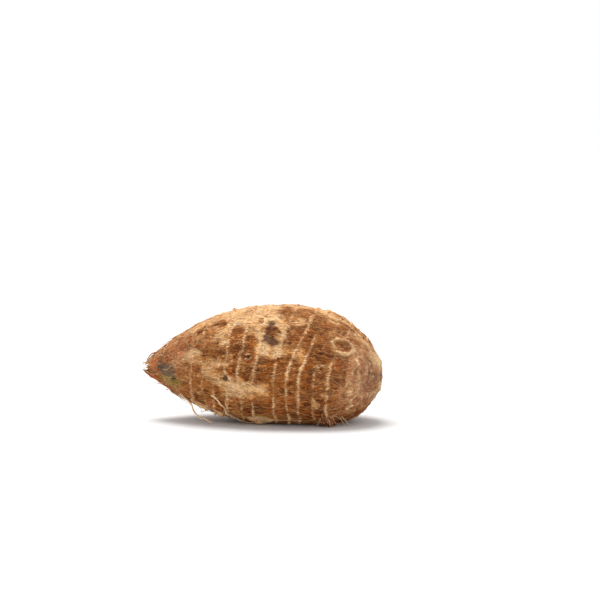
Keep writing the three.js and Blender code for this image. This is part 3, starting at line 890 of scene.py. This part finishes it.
class TaroColours(bpy.types.PropertyGroup):
    tan_pale: display_rgb("Pale tan", "Freshly peeled skin", 250, 212, 164)
    tan_deep: display_rgb("Deep tan", "Older peeled skin", 226, 164, 102)
    tan_orange: display_rgb("Orange tan", "Warm parts of the peeled skin", 210, 137, 74)
    tan_groove: display_rgb("Groove tan", "Fine grooves in the peeled skin", 148, 90, 40)
    bark_dark: display_rgb("Dark bark", "Old bark", 108, 55, 20)
    bark_deep: display_rgb("Bark hollows", "Shade in the bark's hollows", 58, 27, 8)
    bark_red: display_rgb("Red bark", "Younger bark", 166, 86, 34)
    bark_orange: display_rgb("Orange bark", "Rusty bark", 188, 110, 50)
    thin_bark: display_rgb("Thin bark", "Worn bark between skin and full bark", 194, 120, 62)
    tip_skin: display_rgb("Tip skin", "Warm skin near the shoot tip", 182, 102, 54)
    # Painted shade, multiplied into the skin near the ground.
    painted_ground_shade: display_rgb("Underside", "Tint of the skin near the ground", 244, 214, 168)
    bark_fibre: display_rgb("Bark fibre", "Fine fibres in the bark", 212, 151, 90)
    crest_pale: display_rgb("Crest", "Raised rings and rims", 248, 207, 156)
    pink_skin: display_rgb("Pinkish skin", "Smooth skin of the base", 190, 120, 84)
    base_mauve: display_rgb("Base mottling", "Darker marks on the base", 158, 98, 74)
    stain: display_rgb("Stain", "Dark spots", 76, 42, 30)
    tip_red: display_rgb("Tip red", "Red tissue of the shoot tip", 218, 98, 46)
    tip_blue: display_rgb("Tip grey", "Blue-grey tissue of the shoot tip", 88, 86, 76)
    tip_green: display_rgb("Tip green", "Greenish tissue of the shoot tip", 148, 128, 54)
    fibre_light: display_rgb("Light fibre", "Palest fibres", 238, 195, 142)
    fibre_dark: display_rgb("Dark fibre", "Darker fibres", 168, 106, 58)
    rootlet_light: display_rgb("Rootlet", "Dry rootlets", 226, 190, 146)
    rootlet_dark: display_rgb("Rootlet shade", "Rusty rootlets", 158, 88, 44)
    flake_light: display_rgb("Flake", "Lifted flakes", 198, 152, 98)
    flake_dark: display_rgb("Flake shade", "Bark side of the flakes", 150, 94, 52)


class TaroStage(bpy.types.PropertyGroup):
    distance: size_mm("Distance", "Camera to root", 900, 300)
    azimuth: angle_deg("Azimuth", "Camera's angle round the root", 6)
    elevation: angle_deg("Elevation", "Camera's angle over the ground", 7)
    warmth: FloatProperty(name="Warmth", description="Strength of the colours", default=1.03, min=0)
    surround: FloatProperty(name="Surround", description="Light from all round", default=1.0, min=0)
    key_light: FloatProperty(name="Key light", description="Soft light from above", default=2.9, min=0)


class TARO_OT_skin(bpy.types.Operator):
    """Closed fine skin over the whole root"""

    bl_idname = "taro.skin"
    bl_label = "Skin"

    def rows(self):
        """Rows of x0: several over each crest, and evenly spaced ones between and to the ends."""
        places = [CREST_X[:, None] + np.array(CREST_ROWS)]
        starts, stops = CREST_X - CREST_ROWS[-1], CREST_X + CREST_ROWS[-1]
        for left, right in zip(stops[:-1], starts[1:]):
            gaps = max(2, round((right - left) / ROW_SPACING))
            places.append(np.linspace(left, right, gaps + 1)[1:-1])
        for towards_tip, edge in ((True, starts[0]), (False, stops[-1])):
            radius = float(form_radius(np.array(edge)))
            steps = int(radius / END_SPACING)
            places.append(form_x(np.linspace(radius, 0, steps + 1)[1:-1], towards_tip))
        return np.sort(np.concatenate([part.ravel() for part in places]))

    def execute(self, context):
        x0 = self.rows()
        x0, angle = np.meshgrid(x0, 2 * np.pi * np.arange(COLUMNS) / COLUMNS, indexing="ij")
        fields = skin_fields(x0, angle)
        points = body_point(fields["x"], angle, fields["rise"]).reshape(-1, 3)
        layers = mark_layers(fields, x0, angle)

        def with_ends(values):
            """The values with the mean of the first row before them and that of the last row after."""
            first, last = values[:COLUMNS].mean(0), values[-COLUMNS:].mean(0)
            return np.concatenate([first[None], values, last[None]])

        # The angle turns the other way than a tube's rings, so the faces are turned round.
        quads, caps = closed_faces(len(x0), COLUMNS)
        faces = [quads[:, [0, 3, 2, 1]], caps[:, [0, 2, 1]]]
        layers = {key: with_ends(values) for key, values in layers.items()}
        piece = make_piece("taro_skin", with_ends(points), faces, skin_material(), layers)
        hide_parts(NODE)
        return {"FINISHED"}


class TARO_OT_fibres(bpy.types.Operator):
    """Short fibres that bead the rings, and long fine fibres lying on the bands"""

    bl_idname = "taro.fibres"
    bl_label = "Ring beads and fibres"

    def execute(self, context):
        sizes = context.scene.taro_sizes
        c = context.scene.taro_colours
        rng = np.random.default_rng(SEED)
        self.beads(sizes, rng, strand_material("ring_fibre", c.fibre_dark, c.fibre_light))
        self.fibres(sizes, rng, strand_material("skin_fibre", c.fibre_dark, c.bark_fibre))
        return {"FINISHED"}

    def beads(self, sizes, rng, material):
        """Each crest is crossed by spindles evenly spaced round it, shifted and turned at random."""
        at, angle = [], []
        for x in CREST_X:
            count = int(2 * np.pi * form_radius(np.array(x)) / (sizes.bead_spacing / MM))
            at.append(np.full(count, x))
            angle.append(2 * np.pi * (np.arange(count) + rng.uniform(-0.3, 0.3, count)) / count)
        at, angle = np.concatenate(at), np.concatenate(angle)
        fields = skin_fields(at, angle)
        strength = fields["pale"] * (1 - 0.7 * fields["pink"]) + rng.uniform(-0.12, 0.12, len(at))
        kept = (strength > 0.36) & (fields["stain"] < 0.3)
        at, angle, strength = at[kept], angle[kept], strength[kept]
        half = (0.5 + 0.4 * strength * rng.uniform(0.5, 1.3, len(at)))[:, None]
        share = np.linspace(-1, 1, 5)
        x0 = at[:, None] + rng.normal(0, 0.12, (len(at), 1)) + half * share
        lean = rng.normal(0, 0.25, (len(at), 1)) * share / form_radius(at)[:, None]
        radii = BEAD_RADIUS * (1 - 0.6 * share**2) * (0.7 + 0.5 * strength)[:, None]
        paths = skin_point(x0, angle[:, None] + lean, 0.06 * (1 - share**2) - 0.02, 0.1)
        shades = rng.uniform(0.35, 1, len(at)) * np.clip(strength + 0.2, 0, 1)
        ups = unit(paths[:, 2] - axis_point(at))
        make_strands("ring_beads", paths, radii, ups, 4, material, shades)

    def fibres(self, sizes, rng, material):
        """Thin strands from one ring towards the next, half sunk in the skin, drifting a little."""
        count = sizes.fibre_count
        x = rng.uniform(CREST_X[1], CREST_X[-1] + 2, count * 2)
        keep = rng.uniform(0, 1, count * 2) < form_radius(x) / BELLY_RADIUS
        x = x[keep][:count]
        angle = rng.uniform(0, 2 * np.pi, len(x))
        length = np.exp(rng.normal(np.log(FIBRE_LENGTH), 0.4, len(x)))
        fields = skin_fields(x, angle)
        here = (fields["bark"] > -0.1) & (fields["pink"] < 0.5) & (fields["stain"] < 0.3)
        x, angle, length, tone = x[here], angle[here], length[here], fields["bark"][here]
        share = np.linspace(0, 1, 7)
        bend = rng.normal(0, 0.5, (len(x), 1)) * share
        bend = bend + rng.normal(0, 0.22, (len(x), 1)) * np.sin(2 * np.pi * share)
        x0 = np.clip(x[:, None] + length[:, None] * (share - 0.5), TIP_X + 3, BASE_X - 3)
        turned = angle[:, None] + bend / form_radius(x0)
        lift = 0.05 + rng.uniform(-0.06, 0.1, (len(x), 1)) * np.sin(np.pi * share)
        radii = rng.uniform(0.07, 0.13, (len(x), 1)) * (1 - 0.6 * np.abs(2 * share - 1) ** 3)
        paths = skin_point(x0, turned, lift, 0.1)
        shades = np.clip(rng.uniform(-0.2, 0.8, len(x)) + 0.2 * np.clip(tone, 0, 1), 0, 1)
        ups = unit(paths[:, 3] - axis_point(x))
        make_strands("skin_fibres", paths, radii, ups, 3, material, shades)


class TARO_OT_roots(bpy.types.Operator):
    """Creeping rootlets, the root tuft and loose curly hairs"""

    bl_idname = "taro.roots"
    bl_label = "Rootlets and hairs"

    def execute(self, context):
        sizes = context.scene.taro_sizes
        c = context.scene.taro_colours
        rng = np.random.default_rng(SEED + 1)
        self.rootlets(rng, strand_material("rootlet", c.rootlet_dark, c.rootlet_light))
        self.hairs(sizes, rng, strand_material("root_hair", c.fibre_dark, c.fibre_light))
        return {"FINISHED"}

    def creep(self, starts, lifts, radius, share, clearance):
        """Paths that start in the skin, creep over it while they wind, and lift off at the end."""
        x, angle, run, turn, lift, wind = np.array(starts, float).T[:, :, None]
        side = wind * np.sin(7 * share) * (1 - 0.4 * share)
        on_skin = x + run * (0.06 + 0.94 * share)
        turned = np.radians(angle + turn * share + side)
        sunk = -1.4 * np.exp(-share / 0.03)
        rise = 0.15 + 0.3 * share + lift * share**1.5 + lifts + sunk
        finished = skin_fields(on_skin - ring_shift(on_skin, turned), turned)["rise"]
        path = body_point(on_skin, turned, rise + finished)
        path[..., 2] = np.maximum(path[..., 2], clearance + radius)
        return path

    def rootlets(self, rng, material):
        """The rootlets of the solid, then thinner branches near them."""
        share = np.linspace(0, 1, ROOTLET_STEPS)
        thick = self.creep(ROOTLETS, 0.25, ROOTLET_RADIUS, share, ROOTLET_CLEARANCE)
        knots = 1 + 0.12 * np.sin(share * 40 + np.arange(len(ROOTLETS))[:, None])
        thick_radii = ROOTLET_RADIUS * (1 - 0.55 * share**2) * knots
        starts, shades = [], list(ROOTLET_SHADES)

        def scatter(count, limits, shade_limits):
            """Rootlets whose values fall evenly between the limits."""
            for _ in range(count):
                starts.append([rng.uniform(*pair) for pair in limits])
                shades.append(rng.uniform(*shade_limits))

        scatter(*TUFT)
        starts.extend(PALE_HAIRS)
        shades.extend([1] * len(PALE_HAIRS))
        scatter(*LOOSE)
        thin = self.creep(starts, 0.15, THIN_RADIUS, share, THIN_CLEARANCE)
        thin_radii = rng.uniform(0.16, 0.26, (len(starts), 1)) * (1 - 0.6 * share)
        thin_radii[: TUFT[0]] *= rng.uniform(1.3, 2.6, (TUFT[0], 1))
        paths = np.concatenate([thick, thin])
        radii = np.concatenate([thick_radii, thin_radii])
        ups = unit(paths[:, 8] - np.array([0, 0, AXIS_HEIGHT]))
        make_strands("rootlets", paths, radii, ups, 8, material, shades, 0.8)

    def hairs(self, sizes, rng, material):
        """Fine curly hairs: a start on the skin, a direction over it, a slow lift and a coil."""
        count = sizes.hair_count
        starts = [rng.uniform(-50, 52, count // 2)]
        starts += [rng.normal(middle, spread, count // 4) for middle, spread in ((36, 9), (-44, 5))]
        x = np.clip(np.concatenate(starts), TIP_X + 3, BASE_X - 3)
        angle = rng.uniform(0, 2 * np.pi, len(x))
        heading = rng.normal(0, 0.7, len(x)) + np.pi * rng.integers(0, 2, len(x))
        length = np.exp(rng.normal(np.log(HAIR_LENGTH), 0.5, len(x)))
        share = np.linspace(0, 1, 16)
        column = (len(x), 1)
        curl, rate, phase = (rng.uniform(*pair, column) for pair in ((0.2, 1.1), (3, 9), (0, 6.28)))
        along = length[:, None] * share
        run = along * np.cos(heading)[:, None] + curl * np.sin(rate * share + phase) * share
        side = along * np.sin(heading)[:, None] + curl * np.cos(rate * share * 0.8 + phase) * share
        x0 = np.clip(x[:, None] + run, TIP_X + 1, BASE_X - 1)
        turned = angle[:, None] + side / np.maximum(form_radius(x[:, None]), 6)
        lift = rng.exponential(1.1, column) * share**1.6 + 0.1 + 0.25 * curl * np.sin(rate * share) ** 2
        paths = within_box(skin_point(x0, turned, lift, 0.2), 0.9)
        radii = rng.uniform(0.05, 0.09, column) * (1 - 0.5 * share)
        ups = unit(rng.normal(0, 1, (len(x), 3)))
        make_strands("root_hairs", paths, radii, ups, 3, material, rng.uniform(0.2, 1, len(x)))


class TARO_OT_flakes(bpy.types.Operator):
    """Lifted flakes of bark along the rings, and the pointed scales of the shoot tip"""

    bl_idname = "taro.flakes"
    bl_label = "Flakes and tip scales"

    def execute(self, context):
        c = context.scene.taro_colours
        rng = np.random.default_rng(SEED + 2)
        material = strand_material("lifted_flake", c.flake_dark, c.flake_light, 0.75)
        self.flakes(context.scene.taro_sizes, rng, material)
        self.scales()
        self.strands(rng, strand_material("tip_strand", c.flake_dark, c.fibre_light))
        return {"FINISHED"}

    def flakes(self, sizes, rng, material):
        """Thin sheets rooted in the skin at one edge; the other edge is ragged and stands off it."""
        x = rng.choice(CREST_X[2:], sizes.flake_count) + rng.normal(0, 1.2, sizes.flake_count)
        limits = ((0, 360), (1.4, 3.4), (1.2, 4), (0.1, 0.4))
        placed = np.column_stack([x, *(rng.uniform(*pair, len(x)) for pair in limits)])
        turned = np.radians(placed[:, 1])
        marked = skin_fields(placed[:, 0], turned)["stain"] > 0.02
        close = [spot_distance(spot, placed[:, 0], turned) < 2.4 for spot in STAINS]
        placed = np.concatenate([np.array(FLAKES), placed[~(marked | np.any(close, axis=0))]])
        x, angle, long, wide, lift = (column[:, None, None] for column in placed.T)
        angle = np.radians(angle)
        count = len(placed)
        out = np.linspace(0, 1, 7)[None, :, None]
        across = np.linspace(-1, 1, 9)[None, None, :]
        rate, phase = rng.uniform(3, 8, (count, 1, 1)), rng.uniform(0, 6, (count, 1, 1))
        own = np.arange(count) < len(FLAKES)
        tear = np.where(own, 0.3, 1)[:, None, None]
        teeth = 0.2 * np.sin(across * rate + phase) + 0.14 * np.sin(2.7 * across * rate + 2 * phase)
        ragged = 1 + tear * teeth - 0.45 * across**4
        towards = rng.choice([-1.0, 1.0], (count, 1, 1))
        narrow = 1 - 0.3 * out**2 + 0.12 * np.sin(5 * out + phase)
        x0 = x + towards * long * (out - 0.3) * ragged
        turned = angle + 0.5 * wide * across * narrow / form_radius(x)
        rise = -0.25 + (0.4 + lift * out) * out + 0.2 * np.sin(3 * across + x) * out
        sides = ((FLAKE_HALF_THICKNESS, 0.2), (-FLAKE_HALF_THICKNESS, 0.05))
        sheets = [skin_point(x0, turned, rise + half, clearance) for half, clearance in sides]
        flip = (towards < 0)[:, 0, 0]
        for sheet in sheets:
            sheet[flip] = sheet[flip][:, ::-1]
        points, faces = shells(*sheets)
        shade = np.repeat(np.where(own, 0.5, rng.uniform(0.1, 0.9, count)), len(points) // count)
        make_piece("bark_flakes", within_box(points, OVER_BOX), faces, material, {"shade": shade})

    def scales(self):
        """Pointed scales on the cone of the tip, with ragged free points, as the solid has them."""
        number = np.arange(SCALES)[:, None, None]
        centre = 2 * np.pi * number / SCALES + 0.35 * np.sin(5 * number)
        foot = form_x(SCALE_FOOT_RADIUS, True) + 1.2 * np.cos(4 * number)
        length = SCALE_LENGTH * (1 - 0.3 * np.sin(centre) + 0.12 * np.cos(3 * number))
        share = np.linspace(0, 1, 15)[None, :, None]
        across = np.linspace(-1, 1, 11)[None, None, :]
        narrow = (1 - 0.55 * share) * (1 - 0.7 * smoothstep(share, 0.75, 1))
        half = math.radians(SCALE_HALF_ANGLE_DEG) * narrow
        ragged = 1 - 0.1 * (0.5 + 0.5 * np.sin(9 * across + 2 * number)) * share
        x = foot - length * share * ragged
        on_body = np.maximum(x, TIP_X + CROWN_START)
        top = -0.2 + (SCALE_THICKNESS + 0.2) * np.sin(np.pi / 2 * np.minimum(1, share * 2.5))
        curl = 0.35 * np.sin(3 * number + 4 * share)
        ribs = 0.1 * np.cos(11 * across + number) * np.sin(np.pi * share)
        rise = top * (1 - 0.4 * across**2) + curl * share + ribs
        turned = centre + across * half + 0.2 * share
        tops = body_point(on_body, turned, rise + 0.15)
        under = body_point(on_body, turned, rise - SCALE_THICKNESS * (0.4 + 0.6 * (1 - share)))
        closing = 1 - 0.11 * (on_body - x)
        middle = np.array([0, 0, axis_height(np.array(TIP_X))])
        for sheet in (tops, under):
            sheet[..., 1:] = middle[1:] + (sheet[..., 1:] - middle[1:]) * closing[..., None]
            sheet[..., 0] += x - on_body
        points, faces = shells(tops[:, :, ::-1], under[:, :, ::-1])
        marks_x, marks_angle = np.broadcast_arrays(np.maximum(x, TIP_X), turned)
        fields = skin_fields(marks_x, marks_angle)
        fields["bark"] = -0.6 + 0.8 * noise(tops / np.array([2.0, 1.4, 1.4]), 21)
        point = smoothstep(share, 0.7, 1)
        fields["pale"] = np.broadcast_to(0.9 * point, x.shape)
        fields["red"] = fields["red"] * (1 - 0.4 * point)
        layers = {}
        for key, values in mark_layers(fields, marks_x, marks_angle).items():
            both = np.repeat(values.reshape(SCALES, 1, -1, *values.shape[1:]), 2, axis=1)
            layers[key] = both.reshape(-1, *values.shape[1:])
        skin = bpy.data.materials["taro_skin"]
        make_piece("tip_scales", within_box(points, OVER_BOX), faces, skin, layers)

    def strands(self, rng, material):
        """Loose strands that start behind the tip and run past it, and the ribs of old scales."""
        share = np.linspace(0, 1, 14)[None, :]
        column = (TIP_STRANDS, 1)
        fringe = np.arange(TIP_STRANDS)[:, None] < TIP_FRINGE
        angle = np.where(fringe, rng.uniform(0.5, 2.4, column), rng.uniform(0, 2 * np.pi, column))
        start = rng.uniform(TIP_X + 2, TIP_X + np.where(fringe, 14, 9))
        x = start - rng.uniform(2, 6.5, column) * share
        on_body = np.maximum(x, TIP_X + 1)
        lift = rng.uniform(0.2, 1.3, column)
        lift = 0.35 + lift * np.sin(np.pi * share * rng.uniform(0.4, 1, column))
        curl = 0.2 * np.sin(share * rng.uniform(2, 6, column) + angle)
        paths = body_point(on_body, angle + rng.normal(0, 0.5, column) * share + curl * share, lift)
        paths[..., 0] += np.maximum(x, TIP_X - 2.4) - on_body
        radii = rng.uniform(0.09, 0.24, column) * (1 - 0.7 * share)
        angle, end_x, lift = np.array(TIP_HUSKS, float).T[:, :, None]
        over = TIP_X + 1 + (end_x - TIP_X - 1) * share
        swing = 0.25 * np.sin(3 * share)
        husks = body_point(over, np.radians(angle) + swing, 0.4 + lift * np.sin(np.pi * share))
        husks[..., 0] -= 1.6 * (1 - share) ** 2
        husk_radii = np.broadcast_to(HUSK_RADIUS * (1 - 0.5 * (1 - share) ** 2), husks.shape[:2])
        paths = within_box(np.concatenate([husks, paths]), 0.8)
        ups = unit(rng.normal(0, 1, (len(paths), 3)))
        shades = rng.uniform(0.2, 0.9, len(paths))
        radii = np.concatenate([husk_radii, radii])
        make_strands("tip_strands", paths, radii, ups, 5, material, shades)


class TARO_OT_stage(bpy.types.Operator):
    """Pale floor, soft light and the camera"""

    bl_idname = "taro.stage"
    bl_label = "Stage"

    def execute(self, context):
        stage = context.scene.taro_stage
        self.floor()
        self.lights(context, stage)
        self.camera(context, stage)
        context.scene.view_settings.view_transform = "Standard"
        return {"FINISHED"}

    def floor(self):
        """A flat square, a hair under the flat spot."""
        mesh = bpy.data.meshes.new("floor")
        signs = ((-1, -1), (1, -1), (1, 1), (-1, 1))
        corners = [(x * FLOOR_HALF, y * FLOOR_HALF, -FLOOR_GAP) for x, y in signs]
        mesh.from_pydata(corners, [], [(0, 1, 2, 3)])
        w = Wiring("pale_floor")
        w.finish((0.66, 0.66, 0.66, 1), 0.9, 0.0)
        mesh.materials.append(w.material)
        floor = bpy.data.objects.new("floor", mesh)
        bpy.context.scene.collection.objects.link(floor)

    def lights(self, context, stage):
        """White light from all round, and a broad soft one from above and a little behind."""
        world = bpy.data.worlds.new("surround")
        world.use_nodes = True
        background = world.node_tree.nodes["Background"]
        background.inputs["Color"].default_value = (1, 1, 1, 1)
        background.inputs["Strength"].default_value = stage.surround
        context.scene.world = world
        lamp = bpy.data.lights.new("overhead", "SUN")
        lamp.energy = stage.key_light
        lamp.angle = math.radians(LAMP_SPREAD_DEG)
        lit = bpy.data.objects.new("overhead", lamp)
        lit.rotation_euler = Vector(LAMP_FROM).to_track_quat("Z", "Y").to_euler()
        context.scene.collection.objects.link(lit)

    def camera(self, context, stage):
        """Looks at the root from the given angle, turned so that it falls on its pixels."""
        low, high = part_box(NODE)
        centre = (low + high) / 2
        flat = math.cos(stage.elevation)
        across, along = math.sin(stage.azimuth) * flat, -math.cos(stage.azimuth) * flat
        back = Vector((across, along, math.sin(stage.elevation)))
        pixel = MM_PER_PX * MM
        data = bpy.data.cameras.new("camera")
        data.sensor_width = 36
        data.lens = data.sensor_width * stage.distance / (FRAME_PX * pixel)
        data.clip_start = 0.01
        data.clip_end = 50
        camera = bpy.data.objects.new("camera", data)
        context.scene.collection.objects.link(camera)
        camera.location = centre + back * stage.distance
        aim = (-back).to_track_quat("-Z", "Y")
        off_right = (FRAME_PX / 2 - ROOT_CENTRE_PX[0]) * pixel / stage.distance
        off_up = (ROOT_CENTRE_PX[1] - FRAME_PX / 2) * pixel / stage.distance
        turn = Quaternion((0, 1, 0), -math.atan(off_right)) @ Quaternion((1, 0, 0), math.atan(off_up))
        camera.rotation_mode = "QUATERNION"
        camera.rotation_quaternion = aim @ turn
        context.scene.camera = camera


class TARO_PT_panel(bpy.types.Panel):
    """Lists the pieces, their sizes and colours"""

    bl_idname = "TARO_PT_panel"
    bl_label = "Taro root"
    bl_space_type = "VIEW_3D"
    bl_region_type = "UI"
    bl_category = "Taro root"

    def draw(self, context):
        for operator in OPERATORS:
            self.layout.operator(operator.bl_idname)
        for group in (context.scene.taro_sizes, context.scene.taro_colours, context.scene.taro_stage):
            box = self.layout.box()
            for key in group.__annotations__:
                box.prop(group, key)


OPERATORS = (TARO_OT_skin, TARO_OT_fibres, TARO_OT_roots, TARO_OT_flakes, TARO_OT_stage)
GROUPS = {"taro_sizes": TaroSizes, "taro_colours": TaroColours, "taro_stage": TaroStage}


def register():
    for kind in (*GROUPS.values(), *OPERATORS, TARO_PT_panel):
        bpy.utils.register_class(kind)
    for key, group in GROUPS.items():
        setattr(bpy.types.Scene, key, PointerProperty(type=group))


def unregister():
    for key in GROUPS:
        delattr(bpy.types.Scene, key)
    for kind in reversed((*GROUPS.values(), *OPERATORS, TARO_PT_panel)):
        bpy.utils.unregister_class(kind)


def main():
    register()
    bpy.ops.taro.stage()
    bpy.ops.taro.skin()
    bpy.ops.taro.fibres()
    bpy.ops.taro.roots()
    bpy.ops.taro.flakes()


if __name__ == "__main__":
    main()
